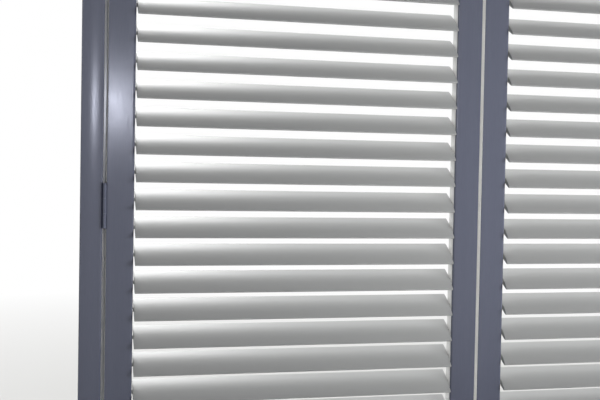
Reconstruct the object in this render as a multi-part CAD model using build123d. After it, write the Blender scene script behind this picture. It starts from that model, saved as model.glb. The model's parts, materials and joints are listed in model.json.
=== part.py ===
from build123d import *
import math
import os

os.makedirs("parts", exist_ok=True)

# A pair of louvred shutters in a mitred frame that laps the edges of a window opening.
# Millimetres. +X runs to the right as seen from the room, +Y away from the room, +Z up.
# Y = 0 is the wall's face, and the origin is the middle of the bottom flange's back.

# Louvres
louvre_count = 17
louvre_pitch = 54.6
louvre_chord = 63.5
louvre_thick = 11.0
louvre_nose_radius = 2.0
nose_flats = 3
louvre_tilt = 38.0
louvre_end_gap = 2.4
louvre_rail_gap = 2.0
opening_width = 671.0

# Pins that the louvres turn on, and their bores
pin_sides = 6
pin_radius = 2.5
bore_clearance = 0.05
gear_pin_length = 8.0
plain_pin_length = 11.0
bore_end_gap = 1.0

# Tilt gear: a pinion on each louvre and one rack for each panel
pinion_teeth = 5
gear_module = 2.4
tooth_addendum = 1.2
tooth_dedendum = 1.8
tooth_root_half = 1.8
tooth_tip_half = 0.7
rack_flank_angle = 28.0
rack_backlash = 0.4
rack_back = 3.0
rack_width = 7.0
rack_teeth_below = 1
rack_teeth_above = 2
pinion_end_gap = 1.0
groove_depth = 8.5
groove_side_gap = 0.4
rack_running_gap = 0.3
rack_end_gap = 1.0
closed_tilt = 80.0

# Panels: stiles and rails
meeting_stile_width = 56.0
hinge_stile_width = 54.0
stile_thick = 28.6
stile_inner_radius = 4.8
stile_outer_radius = 2.0
top_rail_height = 90.0
bottom_rail_height = 115.0
rail_edge_radius = 1.5
tenon_length = 30.0
tenon_thick = 9.0
tenon_shoulder = 12.0
tenon_end_gap = 1.0
tenon_fit = 0.05

# Gaps round the panels
meeting_gap = 6.0
hinge_gap = 6.0
panel_end_gap = 4.0
panel_setback = 2.0

# Frame
frame_face = 44.0
flange_thick = 16.0
flange_crown = 0.8
frame_outer_radius = 2.0
frame_inner_radius = 6.0
wall_lap = 20.0
reveal_depth = 34.0
fixing_radius = 2.5
fixing_from_wall = 7.0

# Stops behind the panels, which keep daylight out of the gaps
stop_width = 12.0
stop_depth = 15.0
stop_panel_gap = 2.0
stop_corner = 1.0
stop_catch_gap = 0.5

# Keys that draw the mitres together
key_length = 18.0
key_end_width = 12.0
key_waist_width = 6.0
key_depth = 12.0
key_fit = 0.05

# Hinges
hinge_height = 89.0
hinge_end_distance = 110.0
leaf_thick = 1.6
leaf_depth = 27.0
knuckle_count = 3
knuckle_radius = 3.6
knuckle_sides = 12
knuckle_gap = 0.3
knuckle_leaf_gap = 0.5
hinge_pin_radius = 2.0
hinge_pin_sides = 8
hinge_pin_clearance = 0.05
knuckle_front_offset = 1.5

# Magnet catches behind the meeting stiles
catch_width = 30.0
catch_height = 14.0
catch_depth = 12.0
catch_side_offset = 12.0
catch_corner = 2.0
strike_thick = 1.0
strike_margin = 2.0
catch_air_gap = 0.2

# Heights, from the bottom of the frame up
frame_bottom_z = -wall_lap / 2
reveal_bottom_z = frame_bottom_z + frame_face
panel_bottom_z = reveal_bottom_z + panel_end_gap
louvre_end_margin = louvre_chord / 2 + louvre_rail_gap
opening_bottom_z = panel_bottom_z + bottom_rail_height
lowest_pivot_z = opening_bottom_z + louvre_end_margin
highest_pivot_z = lowest_pivot_z + (louvre_count - 1) * louvre_pitch
opening_top_z = highest_pivot_z + louvre_end_margin
panel_top_z = opening_top_z + top_rail_height
reveal_top_z = panel_top_z + panel_end_gap
frame_top_z = reveal_top_z + frame_face
panel_height = panel_top_z - panel_bottom_z
panel_middle_z = (panel_top_z + panel_bottom_z) / 2
frame_middle_z = (frame_top_z + frame_bottom_z) / 2

# Distances to the left of the middle line, for the left panel
meeting_edge_x = -meeting_gap / 2
opening_right_x = meeting_edge_x - meeting_stile_width
opening_left_x = opening_right_x - opening_width
hinge_edge_x = opening_left_x - hinge_stile_width
reveal_side_x = hinge_edge_x - hinge_gap
frame_side_x = reveal_side_x - frame_face

# Depths
frame_front_y = -flange_thick
panel_front_y = frame_front_y + panel_setback
panel_rear_y = panel_front_y + stile_thick
panel_middle_y = (panel_front_y + panel_rear_y) / 2
rail_thick = stile_thick - 2 * stile_inner_radius
hinge_axis_x = (hinge_edge_x + reveal_side_x) / 2
hinge_axis_y = frame_front_y - knuckle_front_offset

# Tilt gear sizes that follow from its teeth
pitch_radius = pinion_teeth * gear_module / 2
tooth_pitch = math.pi * gear_module
pinion_tip_radius = pitch_radius + tooth_addendum
pinion_root_radius = pitch_radius - tooth_dedendum
rack_tip_y = pitch_radius - tooth_addendum
rack_root_y = pitch_radius + tooth_dedendum
rack_back_y = rack_root_y + rack_back
rack_down_travel = pitch_radius * math.radians(closed_tilt + louvre_tilt)
rack_up_travel = pitch_radius * math.radians(closed_tilt - louvre_tilt)
rack_bottom_z = lowest_pivot_z - rack_teeth_below * tooth_pitch
rack_top_z = highest_pivot_z + rack_teeth_above * tooth_pitch


def louvre_section():
    """Return a louvre's lens section: two shallow arcs that run into rounded noses."""
    nose_centre = louvre_chord / 2 - louvre_nose_radius
    half_thick = louvre_thick / 2
    squares = nose_centre**2 + half_thick**2 - louvre_nose_radius**2
    face_radius = squares / (2 * (half_thick - louvre_nose_radius))
    tangent_angle = math.atan2(nose_centre, face_radius - half_thick)
    start = math.pi / 2 - tangent_angle
    nose = []
    for step in range(nose_flats + 1):
        angle = start - 2 * start * step / nose_flats
        across = nose_centre + louvre_nose_radius * math.cos(angle)
        nose.append((across, louvre_nose_radius * math.sin(angle)))
    far_nose = [(-across, -up) for across, up in nose]
    upper_face = ThreePointArc(far_nose[-1], (0, half_thick), nose[0])
    lower_face = ThreePointArc(nose[-1], (0, -half_thick), far_nose[0])
    outline = [upper_face, Polyline(*nose), lower_face, Polyline(*far_nose)]
    return make_face(outline)


def pin(length):
    """Return one moulded pin along +X, with flats in place of a full round."""
    return extrude(Plane.YZ * RegularPolygon(pin_radius, pin_sides), amount=length)


def pin_bore(length):
    """Return the cutter for the bore of such a pin, clear of it as it turns."""
    flats_radius = pin_radius + bore_clearance
    section = RegularPolygon(flats_radius, pin_sides, major_radius=False)
    return extrude(Plane.YZ * section, amount=length)


def pinion_section():
    """Return the pinion's outline, with one tooth towards +Y."""
    profile = [
        (pinion_root_radius, -tooth_root_half),
        (pinion_tip_radius, -tooth_tip_half),
        (pinion_tip_radius, tooth_tip_half),
        (pinion_root_radius, tooth_root_half),
    ]
    points = []
    for tooth in range(pinion_teeth):
        turn = 2 * math.pi * tooth / pinion_teeth
        for radius, half in profile:
            angle = turn + math.asin(half / radius)
            points.append((radius * math.cos(angle), radius * math.sin(angle)))
    return Polygon(*points, align=None)


def louvre():
    """Return the lowest left louvre with its pins and its pinion, tilted as at rest."""
    blade_length = opening_width - 2 * louvre_end_gap
    blade = extrude(Plane.YZ * louvre_section(), amount=blade_length)
    blade = Rot(louvre_tilt, 0, 0) * blade
    gear_reach = louvre_end_gap + groove_depth + gear_pin_length
    gear_pin = Pos(-gear_reach, 0, 0) * pin(gear_reach)
    plain_pin = Pos(blade_length, 0, 0) * pin(louvre_end_gap + plain_pin_length)
    pinion_length = louvre_end_gap + groove_depth - pinion_end_gap
    pinion = extrude(Plane.YZ * pinion_section(), amount=pinion_length)
    pinion = Pos(-pinion_length, 0, 0) * pinion
    whole = blade + gear_pin + plain_pin + pinion
    blade_left_x = opening_left_x + louvre_end_gap
    return Pos(blade_left_x, panel_middle_y, lowest_pivot_z) * whole


def rack_tooth(height):
    """Return one rack tooth's outline at a height, pointing towards the pinions."""
    half_pitch = tooth_pitch / 4 - rack_backlash / 2
    slope = math.tan(math.radians(rack_flank_angle))
    tip_half = half_pitch - tooth_addendum * slope
    root_half = half_pitch + tooth_dedendum * slope
    return [
        (rack_root_y, height - root_half),
        (rack_tip_y, height - tip_half),
        (rack_tip_y, height + tip_half),
        (rack_root_y, height + root_half),
    ]


def tilt_rack():
    """Return the left rack: a strip with a group of teeth at each louvre."""
    points = [(rack_back_y, rack_bottom_z), (rack_root_y, rack_bottom_z)]
    for row in range(louvre_count):
        pivot = lowest_pivot_z + row * louvre_pitch
        for step in range(-rack_teeth_below, rack_teeth_above):
            points += rack_tooth(pivot + (step + 0.5) * tooth_pitch)
    points += [(rack_root_y, rack_top_z), (rack_back_y, rack_top_z)]
    outline = Plane.YZ * Polygon(*points, align=None)
    strip = extrude(outline, amount=rack_width, dir=(1, 0, 0))
    return Pos(opening_left_x - rack_width, panel_middle_y, 0) * strip


def block(low, high):
    """Return a block between two opposite corners."""
    size = [b - a for a, b in zip(low, high)]
    return Pos(*low) * Box(*size, align=(Align.MIN, Align.MIN, Align.MIN))


def stile(left_x, width, inner_side):
    """Return a plain stile, its louvre side towards +X or -X as inner_side says."""
    section = Rectangle(width, stile_thick)
    inner = section.vertices().group_by(Axis.X)[-1]
    inner_radius = min(stile_inner_radius, 0.49 * stile_thick)
    section = fillet(inner, inner_radius)
    outer = section.vertices().group_by(Axis.X)[0]
    section = fillet(outer, stile_outer_radius)
    if inner_side < 0:
        section = mirror(section, about=Plane.YZ)
    bar = extrude(section, amount=panel_height)
    return Pos(left_x + width / 2, panel_middle_y, panel_bottom_z) * bar


def tenon(low_x, high_x, low_z, high_z, fit):
    """Return a rail's tenon, or its mortise where fit is more than nothing."""
    half = tenon_thick / 2 + fit
    low = (low_x, panel_middle_y - half, low_z + tenon_shoulder - fit)
    high = (high_x, panel_middle_y + half, high_z - tenon_shoulder + fit)
    return block(low, high)


def mortises(face_x, direction):
    """Return the cutters for both rails' mortises in the stile face at face_x."""
    far_x = face_x + direction * (tenon_length + tenon_end_gap)
    low_x = min(face_x, far_x)
    high_x = max(face_x, far_x)
    lower = tenon(low_x, high_x, panel_bottom_z, opening_bottom_z, tenon_fit)
    upper = tenon(low_x, high_x, opening_top_z, panel_top_z, tenon_fit)
    return lower + upper


def rail(low_z, high_z, louvre_edge):
    """Return a rail with its tenons, its louvre edge the last or the first as given."""
    section = Rectangle(rail_thick, high_z - low_z)
    eased = section.vertices().group_by(Axis.Y)[louvre_edge]
    section = fillet(eased, min(rail_edge_radius, 0.49 * rail_thick))
    bar = extrude(Plane.YZ * section, amount=opening_width)
    bar = Pos(opening_left_x, panel_middle_y, (low_z + high_z) / 2) * bar
    low_x = opening_left_x - tenon_length
    high_x = opening_right_x + tenon_length
    return bar + tenon(low_x, high_x, low_z, high_z, 0)


def gear_groove():
    """Return the cutter for the groove that holds the rack and the pinions."""
    front_y = panel_middle_y - pinion_tip_radius - groove_side_gap
    rear_y = panel_middle_y + rack_back_y + rack_running_gap
    low_z = rack_bottom_z - rack_down_travel - rack_end_gap
    high_z = rack_top_z + rack_up_travel + rack_end_gap
    low = (opening_left_x - groove_depth, front_y, low_z)
    return block(low, (opening_left_x, rear_y, high_z))


def louvre_bores(start_x, length):
    """Return the cutters for one stile's row of louvre bores."""
    cutter = pin_bore(length)
    bores = []
    for row in range(louvre_count):
        height = lowest_pivot_z + row * louvre_pitch
        bores.append(Pos(start_x, panel_middle_y, height) * cutter)
    return bores


def hinge_stile():
    """Return the left panel's hinge stile with its mortises, groove and bores."""
    bore_length = gear_pin_length + bore_end_gap
    floor_x = opening_left_x - groove_depth
    body = stile(hinge_edge_x, hinge_stile_width, 1)
    body = body - mortises(opening_left_x, -1) - gear_groove()
    return body - louvre_bores(floor_x - bore_length, bore_length)


def meeting_stile():
    """Return the left panel's meeting stile with its mortises and bores."""
    bore_length = plain_pin_length + bore_end_gap
    body = stile(opening_right_x, meeting_stile_width, -1)
    body = body - mortises(opening_right_x, 1)
    return body - louvre_bores(opening_right_x, bore_length)


def frame_section():
    """Return the frame's L section: the crowned flange and the body in the opening."""
    side_y = frame_front_y + flange_crown
    outer_turn = frame_outer_radius
    inner_turn = min(frame_inner_radius, 0.49 * frame_face)
    crown_middle = (outer_turn + frame_face - inner_turn) / 2
    diagonal = 1 - math.sqrt(0.5)
    outer_round = ThreePointArc(
        (0, side_y + outer_turn),
        (diagonal * outer_turn, side_y + diagonal * outer_turn),
        (outer_turn, side_y),
    )
    crown = ThreePointArc(
        (outer_turn, side_y),
        (crown_middle, frame_front_y),
        (frame_face - inner_turn, side_y),
    )
    inner_round = ThreePointArc(
        (frame_face - inner_turn, side_y),
        (frame_face - diagonal * inner_turn, side_y + diagonal * inner_turn),
        (frame_face, side_y + inner_turn),
    )
    rest = Polyline(
        (frame_face, side_y + inner_turn),
        (frame_face, reveal_depth),
        (wall_lap, reveal_depth),
        (wall_lap, 0),
        (0, 0),
        (0, side_y + outer_turn),
    )
    return make_face([outer_round, crown, inner_round, rest])


def mitred_bar(length):
    """Return a frame bar along Z, its outer edge on x = 0, mitred at both ends."""
    bar = extrude(frame_section(), amount=length / 2, both=True)
    upper = Plane(origin=(0, 0, length / 2), z_dir=(1, 0, 1))
    lower = Plane(origin=(0, 0, -length / 2), z_dir=(1, 0, -1))
    bar = split(bar, bisect_by=upper, keep=Keep.BOTTOM)
    return split(bar, bisect_by=lower, keep=Keep.BOTTOM)


def corner_keys(fit):
    """Return the four bow-tie keys, or their slots where fit is more than nothing."""
    long = key_length / 2 + fit
    wide = key_end_width / 2 + fit
    waist = key_waist_width / 2 + fit
    outline = Polygon(
        (-long, -wide),
        (0, -waist),
        (long, -wide),
        (long, wide),
        (0, waist),
        (-long, wide),
        align=None,
    )
    inset = (wall_lap + frame_face) / 2
    keys = []
    for side in (-1, 1):
        for up in (-1, 1):
            middle_x = side * (-frame_side_x - inset)
            half_height = (frame_top_z - frame_bottom_z) / 2
            middle_z = frame_middle_z + up * (half_height - inset)
            place = Plane((middle_x, reveal_depth, middle_z), x_dir=(side, 0, up), z_dir=(0, -1, 0))
            keys.append(extrude(place * outline, amount=key_depth))
    return keys


def fixing_holes():
    """Return the cutters for the screw holes through both frame sides."""
    length = 2 * abs(frame_side_x)
    cutter = Rot(0, 90, 0) * Cylinder(fixing_radius, length)
    heights = hinge_heights()
    between = [(low + high) / 2 for low, high in zip(heights, heights[1:])]
    return [Pos(0, fixing_from_wall, height) * cutter for height in between]


def frame_bars():
    """Return the four frame bars by name, with slots for keys and screw holes."""
    slots = corner_keys(key_fit)
    upright = mitred_bar(frame_top_z - frame_bottom_z)
    level = mitred_bar(-2 * frame_side_x)
    left_place = Plane((frame_side_x, 0, frame_middle_z), x_dir=(1, 0, 0), z_dir=(0, 0, 1))
    bottom_place = Plane((0, 0, frame_bottom_z), x_dir=(0, 0, 1), z_dir=(-1, 0, 0))
    top_place = Plane((0, 0, frame_top_z), x_dir=(0, 0, -1), z_dir=(1, 0, 0))
    left = left_place * upright - slots - fixing_holes()
    return {
        "frame_left": left,
        "frame_right": mirror(left, about=Plane.YZ),
        "frame_bottom": bottom_place * level - slots,
        "frame_top": top_place * level - slots,
    }


def stop_strip(low_x, high_x, low_z, high_z, along, inner_edges):
    """Return a stop behind the panels, its edges towards the opening eased."""
    front_y = panel_rear_y + stop_panel_gap
    strip = block((low_x, front_y, low_z), (high_x, front_y + stop_depth, high_z))
    across = Axis.X if along is Axis.Z else Axis.Z
    edges = strip.edges().filter_by(along).group_by(across)[inner_edges]
    return chamfer(edges, min(stop_corner, 0.49 * stop_width, 0.49 * stop_depth))


def stops():
    """Return the four stops by name, those at the ends notched for the catches."""
    inner_x = reveal_side_x + stop_width
    low_z = reveal_bottom_z + stop_width
    high_z = reveal_top_z - stop_width
    left = stop_strip(reveal_side_x, inner_x, reveal_bottom_z, reveal_top_z, Axis.Z, -1)
    bottom = stop_strip(inner_x, -inner_x, reveal_bottom_z, low_z, Axis.X, -1)
    top = stop_strip(inner_x, -inner_x, high_z, reveal_top_z, Axis.X, 0)
    notches = catch_notches()
    return {
        "left_stop": left,
        "right_stop": mirror(left, about=Plane.YZ),
        "bottom_stop": bottom - notches,
        "top_stop": top - notches,
    }


def hinge_heights():
    """Return the heights of the hinges' middles, from the lowest up."""
    low = panel_bottom_z + hinge_end_distance
    high = panel_top_z - hinge_end_distance
    return [low, panel_middle_z, high]


def knuckle_span(index):
    """Return the lowest and highest point of one knuckle, from the hinge's middle."""
    pitch = hinge_height / knuckle_count
    low = -hinge_height / 2 + index * pitch
    return low + knuckle_gap / 2, low + pitch - knuckle_gap / 2


def hinge_leaf(first_knuckle, outer_x, side):
    """Return a leaf round the hinge's axis: a plate, its knuckles and their bores.

    The plate's outer face stands at outer_x from the axis, on the side given.
    """
    inner_x = outer_x - side * leaf_thick
    low_x = min(outer_x, inner_x)
    high_x = max(outer_x, inner_x)
    plate_y = knuckle_radius + knuckle_leaf_gap
    half = hinge_height / 2
    leaf = block((low_x, plate_y, -half), (high_x, leaf_depth, half))
    for index in range(first_knuckle, knuckle_count, 2):
        low, high = knuckle_span(index)
        barrel = extrude(RegularPolygon(knuckle_radius, knuckle_sides), amount=high - low)
        leaf += Pos(0, 0, low) * barrel
        leaf += block((low_x, 0, low), (high_x, plate_y, high))
    bore_radius = hinge_pin_radius + hinge_pin_clearance
    bore = RegularPolygon(bore_radius, hinge_pin_sides, major_radius=False)
    return leaf - extrude(bore, amount=half, both=True)


def at_hinges(piece):
    """Return copies of a piece made round the axis, one at each left hinge."""
    return [Pos(hinge_axis_x, hinge_axis_y, height) * piece for height in hinge_heights()]


def catch(low_z):
    """Return one magnet catch behind the left meeting stile."""
    face_y = panel_rear_y + strike_thick + catch_air_gap
    high_x = meeting_edge_x - catch_side_offset
    body = block(
        (high_x - catch_width, face_y, low_z),
        (high_x, face_y + catch_depth, low_z + catch_height),
    )
    return chamfer(body.edges().filter_by(Axis.Y), catch_corner)


def catch_notches():
    """Return the cutters that give the four catches their room in the stops."""
    low_y = panel_rear_y + strike_thick + catch_air_gap
    high_y = low_y + catch_depth + stop_catch_gap
    high_x = meeting_edge_x - catch_side_offset + stop_catch_gap
    low_x = high_x - catch_width - 2 * stop_catch_gap
    notch = block((low_x, low_y, reveal_bottom_z), (high_x, high_y, reveal_top_z))
    return [notch, mirror(notch, about=Plane.YZ)]


def strike(low_z):
    """Return one strike plate on the left meeting stile, facing its catch."""
    high_x = meeting_edge_x - catch_side_offset - strike_margin
    return block(
        (high_x - catch_width + 2 * strike_margin, panel_rear_y, low_z),
        (high_x, panel_rear_y + strike_thick, low_z + catch_height - strike_margin),
    )


def mirrored(pieces):
    """Return the right-hand copies of left-hand pieces."""
    return [mirror(piece, about=Plane.YZ) for piece in pieces]


def solids_of(pieces):
    """Return one compound of the separate solids in a list of pieces."""
    return Compound([solid for piece in pieces for solid in piece.solids()])


def frame_nodes():
    """Return the pieces of the fixed frame by name."""
    leaf = hinge_leaf(0, reveal_side_x - hinge_axis_x, -1)
    leaves = at_hinges(leaf)
    pin_section = RegularPolygon(hinge_pin_radius, hinge_pin_sides)
    pins = at_hinges(extrude(pin_section, amount=hinge_height / 2, both=True))
    catches = [catch(reveal_bottom_z), catch(reveal_top_z - catch_height)]
    nodes = {**frame_bars(), **stops()}
    nodes["frame_corner_keys"] = solids_of(corner_keys(0))
    nodes["frame_hinge_leaves"] = solids_of(leaves + mirrored(leaves))
    nodes["hinge_pins"] = solids_of(pins + mirrored(pins))
    nodes["magnet_catches"] = solids_of(catches + mirrored(catches))
    return nodes


def left_panel_nodes():
    """Return the left panel's pieces by name, without their side."""
    lower_strike = strike(panel_bottom_z + strike_margin)
    upper_strike = strike(panel_top_z - catch_height)
    nodes = {
        "hinge_stile": hinge_stile(),
        "meeting_stile": meeting_stile(),
        "bottom_rail": rail(panel_bottom_z, opening_bottom_z, -1),
        "top_rail": rail(opening_top_z, panel_top_z, 0),
        "tilt_rack": tilt_rack(),
        "hinge_leaves": solids_of(at_hinges(hinge_leaf(1, hinge_edge_x - hinge_axis_x, 1))),
        "strike_plates": solids_of([lower_strike, upper_strike]),
    }
    lowest = louvre()
    for row in range(louvre_count):
        nodes[f"louvre_{row + 1:02d}"] = Pos(0, 0, row * louvre_pitch) * lowest
    return nodes


def all_nodes():
    """Return every piece of the shutters by its node's name."""
    nodes = frame_nodes()
    for name, piece in left_panel_nodes().items():
        nodes[f"left_{name}"] = piece
        nodes[f"right_{name}"] = mirror(piece, about=Plane.YZ)
    return nodes


for node_name, node_piece in all_nodes().items():
    export_step(node_piece, f"parts/{node_name}.step")
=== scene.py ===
"""Looks of a pair of louvred shutters in their frame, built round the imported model.

Sizes are metres, in the model's own frame: +X right as seen from the room, +Y away
from the room, +Z up. Y = 0 is the wall's face.
"""

import json
import math

import bpy
import numpy as np
from bpy.props import FloatProperty, FloatVectorProperty, IntProperty, PointerProperty
from mathutils import Matrix, Vector


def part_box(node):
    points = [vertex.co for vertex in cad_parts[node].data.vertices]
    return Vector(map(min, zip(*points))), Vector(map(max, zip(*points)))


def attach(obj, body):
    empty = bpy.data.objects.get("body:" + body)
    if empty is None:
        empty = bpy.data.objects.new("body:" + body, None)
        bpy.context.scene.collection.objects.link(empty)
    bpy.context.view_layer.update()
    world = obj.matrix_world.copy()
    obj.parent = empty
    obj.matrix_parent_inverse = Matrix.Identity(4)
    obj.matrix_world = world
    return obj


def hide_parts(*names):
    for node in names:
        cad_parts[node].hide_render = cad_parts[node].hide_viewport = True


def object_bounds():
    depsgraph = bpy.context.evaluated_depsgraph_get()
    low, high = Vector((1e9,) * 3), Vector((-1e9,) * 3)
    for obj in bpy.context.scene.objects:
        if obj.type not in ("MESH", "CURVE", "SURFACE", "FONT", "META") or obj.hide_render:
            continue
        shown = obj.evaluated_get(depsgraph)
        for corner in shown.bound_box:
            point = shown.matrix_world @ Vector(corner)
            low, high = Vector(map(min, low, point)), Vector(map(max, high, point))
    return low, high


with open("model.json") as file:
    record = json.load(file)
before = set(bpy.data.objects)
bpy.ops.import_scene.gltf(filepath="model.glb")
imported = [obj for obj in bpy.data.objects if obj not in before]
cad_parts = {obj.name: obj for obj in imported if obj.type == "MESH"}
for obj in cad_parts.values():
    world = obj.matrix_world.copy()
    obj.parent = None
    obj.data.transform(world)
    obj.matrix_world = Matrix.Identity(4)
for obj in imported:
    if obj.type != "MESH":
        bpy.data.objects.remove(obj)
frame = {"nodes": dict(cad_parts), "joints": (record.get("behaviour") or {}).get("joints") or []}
cad_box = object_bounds()

bl_info = {
    "name": "Louvred shutters",
    "version": (1, 0, 0),
    "blender": (4, 5, 0),
    "location": "3D view, sidebar, Shutters",
    "description": "Dresses a pair of louvred shutters with louvres, hinges, catches and paint",
    "category": "Object",
}

SIDES = ("left", "right")
JOINTS = {joint["child"]: joint for joint in frame["joints"]}
LOUVRES = sorted(name for name in frame["nodes"] if "_louvre_" in name)
FRAME_BARS = ("frame_left", "frame_right", "frame_top", "frame_bottom")
STOPS = ("left_stop", "right_stop", "top_stop", "bottom_stop")
PANEL_BARS = ("hinge_stile", "meeting_stile", "top_rail", "bottom_rail")
WOOD = (*FRAME_BARS, *(f"{side}_{bar}" for side in SIDES for bar in PANEL_BARS))

# A leaf's screws: height as a share of the hinge's, and depth as a share of the plate's.
SCREW_ROWS = ((-0.33, 0.58), (0.0, 0.36), (0.33, 0.58))
KNUCKLES = 3
SHARP_ANGLE = math.radians(30)

# Roughness of the finishes, and cells per metre of their noise.
SATIN, SEMI_GLOSS, WORN_SATIN = 0.42, 0.17, 0.45
DRAWN_STEEL, PLATED_STEEL, NYLON, DARK_PLASTIC = 0.35, 0.3, 0.45, 0.5
BRUSH_LINES, BRUSH_PATCHES, ORANGE_PEEL = 900.0, 9.0, 420.0
DRAWN_LINES, MOULD_GRAIN, MOULD_CLOUDS = 600.0, 1500.0, 60.0
# Width of the painted light: a pale band on the faces inside the gaps.
GAP_LIGHT_BAND = 0.0004

# The camera, fitted to the photograph: angles in degrees, lens and sensor in millimetres.
CAMERA_PLACE = (-0.8584, -1.9271, 0.68285)
CAMERA_YAW_PITCH_ROLL = (13.592, -1.636, 1.033)
CAMERA_LENS = 57.85
SENSOR_WIDTH = 36.0
NEAREST_SEEN = 0.05

# The way to each far light, and each lamp's size, place and target.
WINDOW_WAY = (-0.2, 0.51, 0.84)
ROOM_WAY = (-0.6, -0.8, 0.2)
SIDE_LAMP = {"size": (1.1, 1.1), "place": (1.6, -1.25, 0.6), "target": (0.0, 0.0, 0.65)}
GLEAM_LAMP = {"size": (0.12, 0.14), "place": (-0.63, -3.9, 1.07), "target": (-0.76, 0.0, 0.85)}
WHITE = (1.0, 1.0, 1.0)
COOL = (0.82, 0.85, 1.0)


def length(name, description, value):
    """Return a property for a length in metres."""
    return FloatProperty(
        name=name, description=description, default=value, min=0.0, precision=5,
        subtype="DISTANCE", unit="LENGTH",
    )


def colour(name, description, value):
    """Return a property for a linear colour."""
    return FloatVectorProperty(
        name=name, description=description, default=value, size=3, min=0.0, max=1.0,
        subtype="COLOR",
    )


def number(name, description, value):
    """Return a property for a plain number."""
    return FloatProperty(name=name, description=description, default=value)


def angle(name, description, degrees):
    """Return a property for an angle, its default given in degrees."""
    return FloatProperty(
        name=name, description=description, default=math.radians(degrees), subtype="ANGLE",
        unit="ROTATION",
    )


class LouvreSizes(bpy.types.PropertyGroup):
    chord: length("Chord", "Width of a louvre across its noses", 0.0634)
    thick: length("Thickness", "Thickness of a louvre in its middle", 0.011)
    nose: length("Nose radius", "Radius of a louvre's rounded edges", 0.002)
    end_ease: length("End easing", "Rounding of the edges of a louvre's ends", 0.0006)
    end_gap: length("End gap", "Gap between a louvre's end and the stile", 0.0024)
    groove: length("Groove", "Depth of the groove that holds the gear", 0.0085)
    gear_gap: length("Gear gap", "Gap between the pinion and the groove's floor", 0.001)
    gear_pin: length("Gear pin", "Length of the pin beyond the groove", 0.008)
    plain_pin: length("Plain pin", "Length of the pin in the meeting stile", 0.011)
    pin: length("Pin radius", "Radius of the pins", 0.0025)
    hub: length("Hub radius", "Radius of the hub between a louvre and its pinion", 0.0038)
    teeth: IntProperty(name="Teeth", description="Teeth of a pinion", default=5, min=3)
    tip: length("Tip radius", "Radius at the tips of the pinion's teeth", 0.0072)
    root: length("Root radius", "Radius between the pinion's teeth", 0.0042)
    tip_half: length("Tip half width", "Half the width of a tooth at its tip", 0.0007)
    root_half: length("Root half width", "Half the width of a tooth at its root", 0.0018)
    tilt: angle("Tilt", "Tilt of the louvres at rest, room side low", 38)


class HingeSizes(bpy.types.PropertyGroup):
    height: length("Height", "Height of a hinge", 0.089)
    leaf: length("Leaf thickness", "Thickness of a hinge leaf", 0.0016)
    depth: length("Leaf depth", "Reach of a leaf behind the hinge's axis", 0.027)
    front: length("Leaf front", "Where a leaf's plate starts behind the axis", 0.0041)
    knuckle: length("Knuckle radius", "Radius of a knuckle", 0.00355)
    gap: length("Knuckle gap", "Gap between knuckles", 0.0003)
    pin: length("Pin radius", "Radius of the hinge pin", 0.002)
    bore: length("Bore radius", "Radius of the bore in a knuckle", 0.00205)
    offset: length("Leaf offset", "Distance of a leaf's outer face from the axis", 0.003)
    corner: length("Corner radius", "Radius of a leaf's rear corners", 0.004)
    front_corner: length("Front corner", "Radius of a leaf's front corners", 0.0006)
    tab_corner: length("Tab corner", "Radius of the edges between plate and knuckle", 0.0002)
    ease: length("Easing", "Rounding of the edges of leaves and knuckles", 0.0003)
    pin_ease: length("Pin easing", "Rounding of the hinge pin's ends", 0.0006)
    screw: length("Screw radius", "Radius of a screw's head", 0.0034)


class CatchSizes(bpy.types.PropertyGroup):
    corner: length("Corner radius", "Radius of a catch's corners, seen from the room", 0.002)
    ease: length("Easing", "Rounding of a catch's edges", 0.0007)
    sunk: length("Sunk", "Depth of the body's face behind the pole plates", 0.0005)
    pole: length("Pole thickness", "Thickness of a pole plate", 0.0016)
    pole_width: length("Pole width", "Width of a pole plate", 0.022)
    pole_gap: length("Pole gap", "Thickness of the magnet between the pole plates", 0.0045)
    pole_depth: length("Pole depth", "Reach of a pole plate into the body", 0.008)
    pole_corner: length("Pole corner", "Radius of a pole plate's corners", 0.0003)
    pole_ease: length("Pole easing", "Rounding of a pole plate's edges", 0.0002)
    magnet_corner: length("Magnet corner", "Radius of the magnet's corners", 0.0002)
    screw: length("Screw radius", "Radius of the head of a catch's screw", 0.0026)
    screw_span: length("Screw span", "Distance between a catch's two screws", 0.02)
    height: length("Height", "Height of a catch's body", 0.014)
    plate_height: length("Plate height", "Height of a strike plate", 0.012)
    plate_inset: length("Plate inset", "How much a strike plate is narrower at each end", 0.002)
    plate_corner: length("Plate corner", "Radius of a strike plate's corners", 0.0022)
    plate_ease: length("Plate easing", "Rounding of a strike plate's edges", 0.0003)
    plate_screw: length("Plate screw", "Radius of the head of a plate's screw", 0.0017)
    plate_span: length("Plate span", "Distance between a plate's two screws", 0.016)
    plate_margin: length("Plate margin", "Distance of its screws from a plate's edge", 0.0021)


class PaintColours(bpy.types.PropertyGroup):
    slate: colour("Slate", "Paint of the frame, stiles and rails", (0.095, 0.104, 0.152))
    slate_light: colour("Slate, thin", "Paint where brush lines are thin", (0.122, 0.133, 0.19))
    # Edge is painted light: the same paint as slate, made pale on the faces inside the gaps to
    # stand for the light from behind that falls on them.
    edge: colour("Edge", "Pale paint on the faces inside the gaps", (0.92, 0.92, 0.9))
    louvre: colour("Louvre", "Paint of the louvres", (0.402, 0.406, 0.402))
    louvre_dull: colour("Louvre, dulled", "Louvres' paint where it is dull", (0.352, 0.356, 0.353))
    steel: colour("Steel", "Bare steel", (0.55, 0.55, 0.56))
    nylon: colour("Nylon", "Moulded gear parts", (0.72, 0.72, 0.69))
    dark: colour("Dark plastic", "Corner keys", (0.03, 0.03, 0.032))


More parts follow.
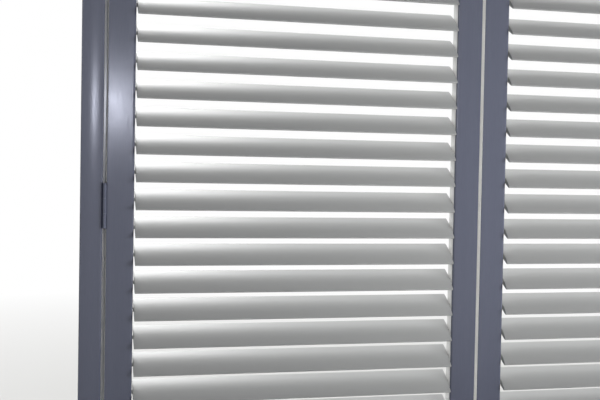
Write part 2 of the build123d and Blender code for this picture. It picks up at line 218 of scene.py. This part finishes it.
class StageSettings(bpy.types.PropertyGroup):
    ambient: number("Ambient", "Strength of the light from all round", 0.085)
    window: number("Window light", "Irradiance from behind and above, in watts a square metre", 4.7)
    room: number("Room light", "Irradiance from the room's side, in watts a square metre", 0.35)
    side: number("Side light", "Power of the lamp on the right, in watts", 4.9)
    gleam: number("Gleam", "Power of the small lamp that shines on the left stile", 9.2)
    window_spread: angle("Window light's spread", "Angle that the window light spans", 34)
    side_spread: angle("Side light's spread", "Angle of the side lamp's beam", 50)
    room_spread: angle("Room light's spread", "Angle that the room light spans", 20)
    floor: colour("Floor", "Colour of the floor", (0.55, 0.55, 0.54))
    floor_return: number("Floor's return", "Share of the light that the floor throws back", 0.5)
    floor_reach: length("Floor's reach", "Half the width of the floor", 30)
    fade_start: length("Fade start", "Distance from the middle where the floor starts to fade", 1.2)
    fade_span: length("Fade span", "Distance over which the floor fades to white", 2.5)


class Socket:
    """Wraps a node's output, so that arithmetic on it adds Math nodes."""

    def __init__(self, paint, output):
        self.paint = paint
        self.output = output

    def math(self, operation, *others):
        values = dict(enumerate((self, *others)))
        return self.paint.node("ShaderNodeMath", {"operation": operation}, values)

    def __add__(self, other):
        return self.math("ADD", other)

    __radd__ = __add__

    def __mul__(self, other):
        return self.math("MULTIPLY", other)

    def __sub__(self, other):
        return self.math("SUBTRACT", other)

    def __truediv__(self, other):
        return self.math("DIVIDE", other)

    def __lt__(self, other):
        return self.math("LESS_THAN", other)

    def __abs__(self):
        return self.math("ABSOLUTE")

    def clamp(self, low, high):
        return self.math("MAXIMUM", low).math("MINIMUM", high)


class Paint:
    """A material or a world whose nodes are added by one method."""

    def __init__(self, owner):
        self.owner = owner
        owner.use_nodes = True
        self.tree = owner.node_tree
        self.tree.nodes.clear()

    def node(self, kind, settings=None, values=None, output=0):
        """Add a node: its settings first, then the values or links of its sockets.

        It returns the output asked for, or the material or world itself if the node has none.
        """
        made = self.tree.nodes.new(kind)
        for key, value in (settings or {}).items():
            setattr(made, key, value)
        for key, value in (values or {}).items():
            socket = made.inputs[key]
            if isinstance(value, Socket):
                self.tree.links.new(value.output, socket)
            elif isinstance(value, (int, float)):
                socket.default_value = value
            else:
                spare = [1.0] * (len(socket.default_value) - len(value))
                socket.default_value = [*value, *spare]
        return Socket(self, made.outputs[output]) if made.outputs else self.owner

    def place(self):
        """Return the Object coordinates, which stay with the piece as it moves."""
        return self.node("ShaderNodeTexCoord", output="Object")

    def axes(self):
        """Return x, y and z of the Object coordinates."""
        made = self.node("ShaderNodeSeparateXYZ", None, {0: self.place()}).output.node
        return [Socket(self, made.outputs[index]) for index in range(3)]

    def noise(self, scale, stretch=(1.0, 1.0, 1.0), detail=2.0, roughness=0.5):
        """Return noise of a number of cells per metre, which stretch scales along each axis."""
        scales = [scale * part for part in stretch]
        mapped = self.node("ShaderNodeMapping", None, {"Vector": self.place(), "Scale": scales})
        values = {"Vector": mapped, "Scale": 1.0, "Detail": detail, "Roughness": roughness}
        return self.node("ShaderNodeTexNoise", None, values)

    def in_view(self):
        """Return 1 for what the camera sees, also in gloss and through glass, and 0 for light."""
        rays = ("Is Camera Ray", "Is Transmission Ray", "Is Glossy Ray")
        return sum(self.node("ShaderNodeLightPath", output=ray) for ray in rays).clamp(0.0, 1.0)

    def mix(self, amount, first, second):
        """Return a colour between two, by an amount."""
        values = {0: amount, 6: first, 7: second}
        return self.node("ShaderNodeMix", {"data_type": "RGBA"}, values, output=2)

    def bump(self, height, distance):
        """Return a normal that follows a height."""
        values = {"Height": height, "Distance": distance, "Strength": 1.0}
        return self.node("ShaderNodeBump", None, values)

    def finish(self, **sockets):
        """Add the shader and the output, and return the material."""
        values = {key.replace("_", " "): value for key, value in sockets.items()}
        return self.surface(self.node("ShaderNodeBsdfPrincipled", None, values))

    def surface(self, shader, kind="Material"):
        """Add the output of a material or a world, and return its owner."""
        return self.node("ShaderNodeOutput" + kind, None, {"Surface": shader})


def brushed_paint(name, colours, along, edges=(), pale=None, rough=SEMI_GLOSS):
    """Return brushed paint: fine lines along the wood, broad patches, and painted light on hidden
    faces.

    The lines are noise squeezed across the wood and stretched along it. The faces painted pale, as
    painted light where light from behind falls into the gaps, stand at the distances given, |x| for
    upright wood and z for level wood.
    """
    paint = Paint(bpy.data.materials.new(name))
    stretch = {"x": (0.05, 1.0, 1.0), "z": (1.0, 1.0, 0.05)}[along]
    lines = paint.noise(BRUSH_LINES, stretch, detail=3.0)
    broad = paint.noise(BRUSH_PATCHES, stretch, detail=3.0, roughness=0.6)
    orange_peel = paint.noise(ORANGE_PEEL, detail=1.0)
    thin = ((broad - 0.5) * 1.6 + (lines - 0.5) * 0.7 + 0.4).clamp(0.0, 1.0)
    base = paint.mix(thin, *colours)
    # Painted light: a thin band of pale paint on the faces at the given distances stands for the
    # light that falls into the gaps from behind.
    if edges:
        x, _, z = paint.axes()
        across = abs(x) if along == "z" else z
        gap_light_mask = sum(abs(across - edge) < GAP_LIGHT_BAND for edge in edges)
        base = paint.mix(gap_light_mask.clamp(0.0, 1.0), base, pale)
    return paint.finish(
        Base_Color=base,
        Roughness=rough + (broad - 0.5) * 0.12 + (lines - 0.5) * 0.1,
        Normal=paint.bump(lines * 0.6 + orange_peel * 0.4, 0.00006),
    )


def smooth_metal(name, tint, rough):
    """Return metal with fine drawn lines along its length."""
    paint = Paint(bpy.data.materials.new(name))
    lines = paint.noise(DRAWN_LINES, (1.0, 1.0, 0.04))
    return paint.finish(
        Base_Color=paint.mix(lines, tint, [0.8 * part for part in tint]),
        Metallic=1.0,
        Roughness=rough + (lines - 0.5) * 0.2,
        Normal=paint.bump(lines, 0.00002),
    )


def moulding(name, tint, rough):
    """Return moulded plastic with a faint grain."""
    paint = Paint(bpy.data.materials.new(name))
    grain = paint.noise(MOULD_GRAIN)
    return paint.finish(
        Base_Color=paint.mix(paint.noise(MOULD_CLOUDS), tint, [0.9 * part for part in tint]),
        Roughness=rough + (grain - 0.5) * 0.15,
        Normal=paint.bump(grain, 0.00002),
    )


def circle(radius, sides=40):
    """Return a function from an inset to a circle: (r cos t, r sin t)."""
    turn = np.linspace(0, 2 * math.pi, sides, endpoint=False)

    def outline(inset):
        return np.stack([np.cos(turn), np.sin(turn)], axis=-1) * (radius - inset)

    return outline


def rounded_box(low, high, corner, steps=6):
    """Return a function from an inset to a rectangle with round corners.

    A corner's centre is fixed, and each point stands one radius from it along the
    direction (cos t, sin t), with t running through each quarter in turn.
    """
    quarter = np.linspace(0, math.pi / 2, steps)
    turn = (np.arange(4)[:, None] * math.pi / 2 + quarter).reshape(-1)
    middle = np.array([np.add(low, high) / 2])
    reach = np.array([np.subtract(high, low) / 2 - corner])
    sign = np.repeat([[1, 1], [-1, 1], [-1, -1], [1, -1]], steps, axis=0)

    def outline(inset):
        ways = np.stack([np.cos(turn), np.sin(turn)], axis=-1)
        return middle + sign * reach + ways * (corner - inset)

    return outline


def lens(sizes):
    """Return a function from an inset to a louvre's section, turned to its tilt.

    The section is a thinner lens of two arcs, grown on all sides by the nose radius:
    a point is c + n r, where n = (cos t, sin t) and c is the thinner lens's point
    whose outward direction is n, or its corner.
    """
    half = sizes.chord / 2 - sizes.nose
    rise = sizes.thick / 2
    squares = half**2 + rise**2 - sizes.nose**2
    face = squares / (2 * (rise - sizes.nose))
    spread = math.atan2(half, face - rise)
    face_steps, nose_steps = 25, 15
    across_face = np.linspace(-spread, spread, face_steps)[1:-1]
    round_nose = np.linspace(spread - math.pi / 2, math.pi / 2 - spread, nose_steps)
    turn = np.concatenate([round_nose, math.pi / 2 + across_face])
    turn = np.concatenate([turn, turn + math.pi])
    ways = np.stack([np.cos(turn), np.sin(turn)], axis=-1)
    inner = face - sizes.nose
    along = np.clip(inner * ways[:, 0], -half, half)
    height = np.sqrt(inner**2 - along**2) - (face - rise)
    core = np.stack([along, np.maximum(height, 0) * np.sign(ways[:, 1])], axis=-1)
    tilt = sizes.tilt
    turned = np.array([[math.cos(tilt), math.sin(tilt)], [-math.sin(tilt), math.cos(tilt)]])

    def outline(inset):
        return (core + ways * (sizes.nose - inset)) @ turned

    return outline


def pinion(sizes):
    """Return a function from an inset to the pinion's outline, one tooth towards +Y."""
    radius = np.array([sizes.root, sizes.tip, sizes.tip, sizes.root])
    half = np.array([-sizes.root_half, -sizes.tip_half, sizes.tip_half, sizes.root_half])
    tooth = np.arcsin(half / radius)
    turn = np.arange(sizes.teeth)[:, None] * 2 * math.pi / sizes.teeth + tooth
    reach = np.tile(radius, sizes.teeth)

    def outline(inset):
        ways = np.stack([np.cos(turn), np.sin(turn)], axis=-1).reshape(-1, 2)
        return ways * (reach - inset)[:, None]

    return outline


def placed(points, station, axis):
    """Return flat points as space points, at a station along x, y or z."""
    along = np.full(len(points), station)
    first, second = points.T
    order = {
        "x": (along, first, second),
        "y": (second, along, first),
        "z": (first, second, along),
    }
    return np.stack(order[axis], axis=-1)


def skin(rings, closed=False):
    """Return points and faces: quads between rings, and a flat cap at each end.

    If closed, quads join the last ring to the first in place of the caps.
    """
    count, size = rings.shape[:2]
    index = np.arange(count * size).reshape(count, size)
    onward = np.roll(index, -1, axis=1)
    ahead = np.roll(index, -1, axis=0)
    quads = np.stack([index, onward, np.roll(ahead, -1, axis=1), ahead], axis=-1)
    if closed:
        return rings.reshape(-1, 3), quads.reshape(-1, 4).tolist()
    caps = [index[0, ::-1].tolist(), index[-1].tolist()]
    return rings.reshape(-1, 3), quads[:-1].reshape(-1, 4).tolist() + caps


def eased(low, high, ease, steps=4):
    """Return stations from low to high, and how far a shape is drawn in at each.

    Near an end it is drawn in by e (1 - sin a) at e (1 - cos a) from the end.
    """
    turn = np.linspace(0, math.pi / 2, steps + 1)
    run = ease * (1 - np.cos(turn))
    drawn_in = ease * (1 - np.sin(turn))
    stations = np.concatenate([low + run, high - run[::-1]])
    return stations, np.concatenate([drawn_in, drawn_in[::-1]])


def prism(outline, low, high, ease, axis, steps=4):
    """Return an outline carried from low to high, its end edges rounded."""
    pairs = zip(*eased(low, high, ease, steps))
    return skin(np.stack([placed(outline(inset), station, axis) for station, inset in pairs]))


def tube(outer, inner, low, high, ease, axis):
    """Return a round tube, its outer end edges rounded: a ring profile turned once."""
    stations, insets = eased(low, high, ease)
    stations = np.concatenate([[low], stations, [high]])
    radii = np.concatenate([[inner], outer - insets, [inner]])
    rings = [placed(circle(reach)(0), station, axis) for station, reach in zip(stations, radii)]
    return skin(np.stack(rings), closed=True)


def screw_head(radius, centre, axis, way):
    """Return a countersunk head that faces along an axis, with a cross recess.

    Its height over the disc is a shallow dome, h (1 - r^2 / R^2), less the recess,
    a smooth step of the nearer of the distances to the two arms' middle lines. The
    measures below are shares of the radius.
    """
    spokes, rings = 48, 14
    dome, recess, skirt = 0.12, 0.22, 0.25
    arm_half, arm_reach = 0.16, 0.62
    reach = radius * np.linspace(1, 0.02, rings)[:, None]
    turn = np.linspace(0, 2 * math.pi, spokes, endpoint=False)
    first = reach * np.cos(turn)
    second = reach * np.sin(turn)
    near = np.minimum(np.abs(first), np.abs(second)) / radius
    far = np.maximum(np.abs(first), np.abs(second)) / radius
    arm = np.clip((arm_half - near) / 0.06, 0, 1) * np.clip((arm_reach - far) / 0.1, 0, 1)
    rise = radius * (dome * (1 - (reach / radius) ** 2) - recess * arm)
    below = np.full(spokes, -skirt * radius)
    heights = np.concatenate([[below], rise])
    firsts = np.concatenate([first[:1] * 0.8, first])
    seconds = np.concatenate([second[:1] * 0.8, second])
    order = {
        "x": (heights * way, firsts, seconds * way),
        "y": (seconds * way, heights * way, firsts),
        "z": (firsts, seconds * way, heights * way),
    }
    return skin(np.stack(order[axis], axis=-1) + np.array(centre))


def mirrored(part):
    """Return a part's mirror image about the plane x = 0, its faces turned back out."""
    points, faces = part
    return points * np.array([-1.0, 1.0, 1.0]), [face[::-1] for face in faces]


def moved(part, shift):
    """Return a part moved by a shift."""
    points, faces = part
    return points + np.array(shift), faces


def joined(parts):
    """Return several parts as one list of points and one of faces."""
    starts = np.cumsum([0] + [len(points) for points, _ in parts[:-1]])
    pairs = zip(starts, parts)
    faces = [[start + corner for corner in face] for start, (_, some) in pairs for face in some]
    return np.concatenate([points for points, _ in parts]), faces


def make_piece(name, parts, material, body, nodes):
    """Make one object of several parts, which rides on a body and stands for CAD nodes."""
    points, faces = joined(parts)
    mesh = bpy.data.meshes.new(name)
    mesh.from_pydata(points, [], faces)
    mesh.polygons.foreach_set("use_smooth", np.ones(len(mesh.polygons), bool))
    mesh.set_sharp_from_angle(angle=SHARP_ANGLE)
    mesh.materials.append(material)
    mesh.update()
    piece = bpy.data.objects.new(name, mesh)
    bpy.context.scene.collection.objects.link(piece)
    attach(piece, body)
    if nodes:
        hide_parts(*nodes)


def give_material(node, material):
    """Give a CAD node a material in place of its own."""
    frame["nodes"][node].material_slots[0].material = material


def louvre_parts(sizes, low, high, side):
    """Return a louvre's blade, hub, pinion and pins about its pivot line.

    They are made on the right, from low near the middle to high at the hinge side.
    """
    blade_low = low + sizes.plain_pin + sizes.end_gap
    blade_high = high - sizes.gear_pin - sizes.groove - sizes.end_gap
    groove_top = blade_high + sizes.end_gap
    gear_high = groove_top + sizes.groove - sizes.gear_gap
    ease = sizes.end_ease
    section = lens(sizes)
    teeth = pinion(sizes)
    pin = circle(sizes.pin, 24)
    parts = [
        prism(section, blade_low, blade_high, ease, "x"),
        prism(pin, low, blade_low + ease, ease, "x"),
        prism(circle(sizes.hub, 32), blade_high - ease, groove_top + ease, ease, "x"),
        prism(teeth, groove_top, gear_high, 0.3 * ease, "x", steps=2),
        prism(pin, gear_high - ease, high, ease, "x"),
    ]
    return parts if side == "right" else [mirrored(part) for part in parts]


class SHUTTERS_OT_louvres(bpy.types.Operator):
    """Build the louvres with their pins and pinions"""

    bl_idname = "shutters.louvres"
    bl_label = "Louvres"

    def execute(self, context):
        sizes = context.scene.louvre_sizes
        colours = context.scene.paint_colours
        pair = (colours.louvre_dull, colours.louvre)
        paint = brushed_paint("louvre paint", pair, "x", rough=SATIN)
        for node in LOUVRES:
            side = node.split("_")[0]
            body = node + "_body"
            reach = sorted(abs(corner.x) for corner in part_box(node))
            pivot = JOINTS[body]["pos_m"]
            parts = louvre_parts(sizes, *reach, side)
            parts = [moved(part, (0, pivot[1], pivot[2])) for part in parts]
            make_piece(node + "_painted", parts, paint, body, [node])
        return {"FINISHED"}


def knuckle_spans(sizes):
    """Return the knuckles' spans from the hinge's middle, from the lowest up."""
    pitch = sizes.height / KNUCKLES
    lows = [-sizes.height / 2 + index * pitch for index in range(KNUCKLES)]
    return [(low + sizes.gap / 2, low + pitch - sizes.gap / 2) for low in lows]


def leaf_parts(sizes, spans, outer, way):
    """Return a leaf about the hinge's axis: plate, rolled knuckles, tabs and screws.

    outer is the plate's face against the wood, and way points from it to the gap.
    """
    inner = outer + way * sizes.leaf
    flat = sorted((outer, inner))
    half = sizes.height / 2
    ends = (sizes.front, -half), (sizes.depth, half)
    square = rounded_box(*ends, sizes.front_corner)
    soft = rounded_box(*ends, sizes.corner)

    def plate(inset):
        rear = soft(inset)
        return np.where(rear[:, :1] > (sizes.front + sizes.depth) / 2, rear, square(inset))

    parts = [prism(plate, *flat, sizes.ease, "x", steps=2)]
    start = math.sqrt(sizes.bore**2 - min(abs(face) for face in flat) ** 2) + sizes.ease
    end = sizes.front + sizes.front_corner
    tab = rounded_box((flat[0], start), (flat[1], end), sizes.tab_corner)
    for low, high in spans:
        parts.append(tube(sizes.knuckle, sizes.bore, low, high, sizes.ease, "z"))
        parts.append(prism(tab, low, high, sizes.tab_corner / 2, "z", steps=1))
    for height, share in SCREW_ROWS:
        depth = sizes.front + share * (sizes.depth - sizes.front)
        parts.append(screw_head(sizes.screw, (inner, depth, height * sizes.height), "x", way))
    return parts


class SHUTTERS_OT_hinges(bpy.types.Operator):
    """Build the hinge leaves with their screws, and the hinge pins"""

    bl_idname = "shutters.hinges"
    bl_label = "Hinges"

    def execute(self, context):
        sizes = context.scene.hinge_sizes
        colours = context.scene.paint_colours
        # The hinges take the lighter slate all over: painted light that lifts the barrels, which
        # sit in shade beside the frame's edge.
        pair = (colours.slate_light, colours.slate_light)
        paint = brushed_paint("hinge paint", pair, "z", rough=WORN_SATIN)
        steel = smooth_metal("hinge pin steel", colours.steel, DRAWN_STEEL)
        spans = knuckle_spans(sizes)
        outer_leaf = leaf_parts(sizes, spans[::2], sizes.offset, -1)
        inner_leaf = leaf_parts(sizes, spans[1:2], -sizes.offset, 1)
        half = sizes.height / 2
        pin = [prism(circle(sizes.pin, 32), -half, half, sizes.pin_ease, "z")]
        axis_x, axis_y, _ = JOINTS["right_panel"]["pos_m"]
        low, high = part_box("right_hinge_leaves")
        heights = (low.z + half, (low.z + high.z) / 2, high.z - half)
        groups = {"frame": [], "pins": [], "left": [], "right": []}
        for height in heights:
            shift = (axis_x, axis_y, height)
            fixed = [moved(part, shift) for part in outer_leaf]
            pins = [moved(part, shift) for part in pin]
            swung = [moved(part, shift) for part in inner_leaf]
            groups["frame"] += fixed + [mirrored(part) for part in fixed]
            groups["pins"] += pins + [mirrored(part) for part in pins]
            groups["right"] += swung
            groups["left"] += [mirrored(part) for part in swung]
        make_piece("frame_hinge_leaves_painted", groups["frame"], paint, "frame",
                   ["frame_hinge_leaves"])
        make_piece("hinge_pins_round", groups["pins"], steel, "frame",
                   ["hinge_pins"])
        for side in SIDES:
            make_piece(f"{side}_hinge_leaves_painted", groups[side], paint, f"{side}_panel",
                       [f"{side}_hinge_leaves"])
        return {"FINISHED"}


class SHUTTERS_OT_woodwork(bpy.types.Operator):
    """Paint the frame, the stiles and the rails"""

    bl_idname = "shutters.woodwork"
    bl_label = "Woodwork"

    def execute(self, context):
        colours = context.scene.paint_colours
        pair = (colours.slate, colours.slate_light)
        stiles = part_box("right_hinge_stile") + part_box("right_meeting_stile")
        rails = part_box("right_bottom_rail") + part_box("right_top_rail")
        # The faces inside the gaps take the pale edge colour: painted light where light from behind
        # falls on them, on paint that is slate on the fronts.
        gap_light_uprights = [corner.x for corner in (*stiles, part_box("frame_right")[0])]
        level_ends = (*rails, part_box("frame_bottom")[1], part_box("frame_top")[0])
        gap_light_levels = [corner.z for corner in level_ends]
        upright = brushed_paint("slate paint upright", pair, "z", gap_light_uprights, colours.edge)
        level = brushed_paint("slate paint level", pair, "x", gap_light_levels, colours.edge)
        # The stops are painted pale all over in place of the frame's slate: painted light seen
        # through the hinge gaps.
        stop_light_paint = brushed_paint("stop paint", (colours.edge, colours.edge), "z")
        for node in STOPS:
            give_material(node, stop_light_paint)
        for node in WOOD:
            give_material(node, upright if node.endswith(("stile", *SIDES)) else level)
        return {"FINISHED"}


def block(low, high, corner, ease):
    """Return a block with rounded edges: a rounded rectangle carried along y."""
    outline = rounded_box((low[2], low[0]), (high[2], high[0]), corner)
    return prism(outline, low[1], high[1], ease, "y", steps=3)


def catch_parts(sizes, low, high, up):
    """Return a catch's body with its magnet, and its pole plates with the screws.

    up is 1 on the sill and -1 on the head: the screws are driven into the frame.
    """
    middle = np.add(low, high) / 2
    body = block((low[0], low[1] + sizes.sunk, low[2]), high, sizes.corner, sizes.ease)
    half_gap = sizes.pole_gap / 2
    half_width = sizes.pole_width / 2
    rear = low[1] + sizes.pole_depth
    magnet = block(
        (middle[0] - half_width, low[1] + 0.6 * sizes.sunk, middle[2] - half_gap),
        (middle[0] + half_width, rear, middle[2] + half_gap),
        sizes.magnet_corner, sizes.magnet_corner / 2,
    )
    steel = []
    for way in (-1, 1):
        near, far = sorted((middle[2] + way * half_gap, middle[2] + way * (half_gap + sizes.pole)))
        ends = (middle[0] - half_width, low[1], near), (middle[0] + half_width, rear, far)
        steel.append(block(*ends, sizes.pole_corner, sizes.pole_ease))
        place = (middle[0] + way * sizes.screw_span / 2, middle[1], high[2] if up > 0 else low[2])
        steel.append(screw_head(sizes.screw, place, "z", up))
    return body, magnet, steel


def plate_parts(sizes, low, high, up):
    """Return a strike plate, with two screws near the edge that stands clear of the catch."""
    parts = [block(low, high, sizes.plate_corner, sizes.plate_ease)]
    height = high[2] - sizes.plate_margin if up > 0 else low[2] + sizes.plate_margin
    for way in (-1, 1):
        place = ((low[0] + high[0]) / 2 + way * sizes.plate_span / 2, high[1], height)
        parts.append(screw_head(sizes.plate_screw, place, "y", 1))
    return parts


def end_boxes(node, inner, tall):
    """Return a node's lower and upper box on the right, given its nearest x and its height."""
    low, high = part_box(node)
    far = max(abs(low.x), abs(high.x))
    lower = (inner, low.y, low.z), (far, high.y, low.z + tall)
    upper = (inner, low.y, high.z - tall), (far, high.y, high.z)
    return (lower, 1), (upper, -1)


class SHUTTERS_OT_catches(bpy.types.Operator):
    """Build the magnet catches and the strike plates, and finish the hidden gear"""

    bl_idname = "shutters.catches"
    bl_label = "Catches and gear"

    def execute(self, context):
        sizes = context.scene.catch_sizes
        colours = context.scene.paint_colours
        nylon = moulding("nylon", colours.nylon, NYLON)
        dark = moulding("dark plastic", colours.dark, DARK_PLASTIC)
        steel = smooth_metal("plated steel", colours.steel, PLATED_STEEL)
        plate_low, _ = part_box("right_strike_plates")
        bodies, magnets, poles, plates = [], [], [], []
        for box, up in end_boxes("magnet_catches", plate_low.x - sizes.plate_inset, sizes.height):
            body, magnet, metal = catch_parts(sizes, *box, up)
            bodies += [body, mirrored(body)]
            magnets += [magnet, mirrored(magnet)]
            poles += metal + [mirrored(part) for part in metal]
        for box, up in end_boxes("right_strike_plates", plate_low.x, sizes.plate_height):
            plates += plate_parts(sizes, *box, up)
        make_piece("magnet_catches_moulded", bodies, nylon, "frame",
                   ["magnet_catches"])
        make_piece("catch_magnets", magnets, dark, "frame", [])
        make_piece("catch_poles", poles, steel, "frame", [])
        for side in SIDES:
            parts = plates if side == "right" else [mirrored(part) for part in plates]
            make_piece(f"{side}_strike_plates_plated", parts, steel, f"{side}_panel",
                       [f"{side}_strike_plates"])
            give_material(f"{side}_tilt_rack", nylon)
        give_material("frame_corner_keys", dark)
        return {"FINISHED"}


def add_lamp(name, power, spread, size, place, target, tint=WHITE, glossy=True):
    """Add a rectangular lamp at a place, with a beam of a given angle towards a target.

    With glossy off, the lamp lights the shutters, but no gloss shows its image.
    """
    data = bpy.data.lights.new(name, "AREA")
    data.spread = spread
    data.shape = "RECTANGLE"
    data.size, data.size_y = size
    data.energy = power
    data.color = tint
    lamp = bpy.data.objects.new(name, data)
    way = Vector(target) - Vector(place)
    turn = way.to_track_quat("-Z", "Y").to_matrix().to_4x4()
    lamp.matrix_world = Matrix.Translation(place) @ turn
    lamp.visible_glossy = glossy
    bpy.context.scene.collection.objects.link(lamp)


def add_far_light(name, way, spread, strength):
    """Add a broad, even light that comes from the direction given."""
    data = bpy.data.lights.new(name, "SUN")
    data.energy = strength
    data.angle = spread
    lamp = bpy.data.objects.new(name, data)
    lamp.matrix_world = Vector(way).to_track_quat("Z", "Y").to_matrix().to_4x4()
    bpy.context.scene.collection.objects.link(lamp)


def add_camera():
    """Add the camera at the photograph's viewpoint, found by fitting the louvres' edges.

    Yaw turns it to the right of +Y, pitch up, and roll its top to the left.
    """
    yaw, pitch, roll = (math.radians(degrees) for degrees in CAMERA_YAW_PITCH_ROLL)
    run = math.cos(pitch)
    ahead = Vector((math.sin(yaw) * run, math.cos(yaw) * run, math.sin(pitch)))
    level = Vector((math.cos(yaw), -math.sin(yaw), 0.0))
    above = level.cross(ahead)
    right = math.cos(roll) * level + math.sin(roll) * above
    up = -math.sin(roll) * level + math.cos(roll) * above
    data = bpy.data.cameras.new("camera")
    data.sensor_width = SENSOR_WIDTH
    data.lens = CAMERA_LENS
    data.clip_start = NEAREST_SEEN
    camera = bpy.data.objects.new("camera", data)
    turn = Matrix((right, up, -ahead)).transposed().to_4x4()
    camera.matrix_world = Matrix.Translation(CAMERA_PLACE) @ turn
    bpy.context.scene.collection.objects.link(camera)
    bpy.context.scene.camera = camera


def plain_world(strength):
    """Light the scene evenly, and show white to the camera and in gloss and glass."""
    world = Paint(bpy.data.worlds.new("plain world"))
    amount = strength + world.in_view() * (1.0 - strength)
    values = {"Color": WHITE, "Strength": amount}
    background = world.node("ShaderNodeBackground", None, values)
    bpy.context.scene.world = world.surface(background, "World")


def add_floor(settings, height):
    """Add a pale floor that fades to white away from the shutters, as far as it is seen.

    It throws back only a share of the light, so the wood isn't lit from below.
    """
    paint = Paint(bpy.data.materials.new("floor"))
    x, y, _ = paint.axes()
    away = (x * x + y * y).math("POWER", 0.5)
    fade = ((away - settings.fade_start) / settings.fade_span).clamp(0.0, 1.0)
    seen = paint.in_view()
    dim = [settings.floor_return * part for part in settings.floor]
    matte = paint.node("ShaderNodeBsdfDiffuse", None, {"Color": settings.floor})
    white = paint.node("ShaderNodeEmission", None, {"Strength": 1.0})
    dull = paint.node("ShaderNodeBsdfDiffuse", None, {"Color": dim})
    plain = paint.node("ShaderNodeMixShader", None, {0: seen, 1: dull, 2: matte})
    mixed = paint.node("ShaderNodeMixShader", None, {0: fade * seen, 1: plain, 2: white})
    signs = ((-1, -1), (1, -1), (1, 1), (-1, 1))
    corners = [(a * settings.floor_reach, b * settings.floor_reach, height) for a, b in signs]
    mesh = bpy.data.meshes.new("floor")
    mesh.from_pydata(corners, [], [(0, 1, 2, 3)])
    mesh.materials.append(paint.surface(mixed))
    floor = bpy.data.objects.new("floor", mesh)
    bpy.context.scene.collection.objects.link(floor)


class SHUTTERS_OT_stage(bpy.types.Operator):
    """Set up the floor, the lights and the camera"""

    bl_idname = "shutters.stage"
    bl_label = "Stage"

    def execute(self, context):
        settings = context.scene.stage_settings
        context.scene.view_settings.view_transform = "Standard"
        add_camera()
        plain_world(settings.ambient)
        add_floor(settings, cad_box[0].z)
        add_far_light("window light", WINDOW_WAY, settings.window_spread, settings.window)
        add_far_light("room light", ROOM_WAY, settings.room_spread, settings.room)
        add_lamp("side light", settings.side, settings.side_spread, **SIDE_LAMP, glossy=False)
        add_lamp("gleam", settings.gleam, math.pi, **GLEAM_LAMP, tint=COOL)
        return {"FINISHED"}


class SHUTTERS_PT_panel(bpy.types.Panel):
    """The shutters' sizes, colours and building steps"""

    bl_idname = "SHUTTERS_PT_panel"
    bl_label = "Shutters"
    bl_space_type = "VIEW_3D"
    bl_region_type = "UI"
    bl_category = "Shutters"

    def draw(self, context):
        for kind in OPERATORS:
            self.layout.operator(kind.bl_idname)
        for group in GROUPS:
            settings = getattr(context.scene, group)
            self.layout.label(text=group.replace("_", " ").capitalize())
            for name in settings.bl_rna.properties.keys():
                if name not in ("name", "rna_type"):
                    self.layout.prop(settings, name)


GROUPS = {
    "louvre_sizes": LouvreSizes,
    "hinge_sizes": HingeSizes,
    "catch_sizes": CatchSizes,
    "paint_colours": PaintColours,
    "stage_settings": StageSettings,
}
OPERATORS = (
    SHUTTERS_OT_woodwork,
    SHUTTERS_OT_louvres,
    SHUTTERS_OT_hinges,
    SHUTTERS_OT_catches,
    SHUTTERS_OT_stage,
)


def register():
    for group, kind in GROUPS.items():
        bpy.utils.register_class(kind)
        setattr(bpy.types.Scene, group, PointerProperty(type=kind))
    for kind in (*OPERATORS, SHUTTERS_PT_panel):
        bpy.utils.register_class(kind)


def unregister():
    for kind in (SHUTTERS_PT_panel, *reversed(OPERATORS)):
        bpy.utils.unregister_class(kind)
    for group, kind in reversed(GROUPS.items()):
        delattr(bpy.types.Scene, group)
        bpy.utils.unregister_class(kind)


def main():
    """Build every piece in order."""
    register()
    for name in ("woodwork", "louvres", "hinges", "catches", "stage"):
        getattr(bpy.ops.shutters, name)()


if __name__ == "__main__":
    main()
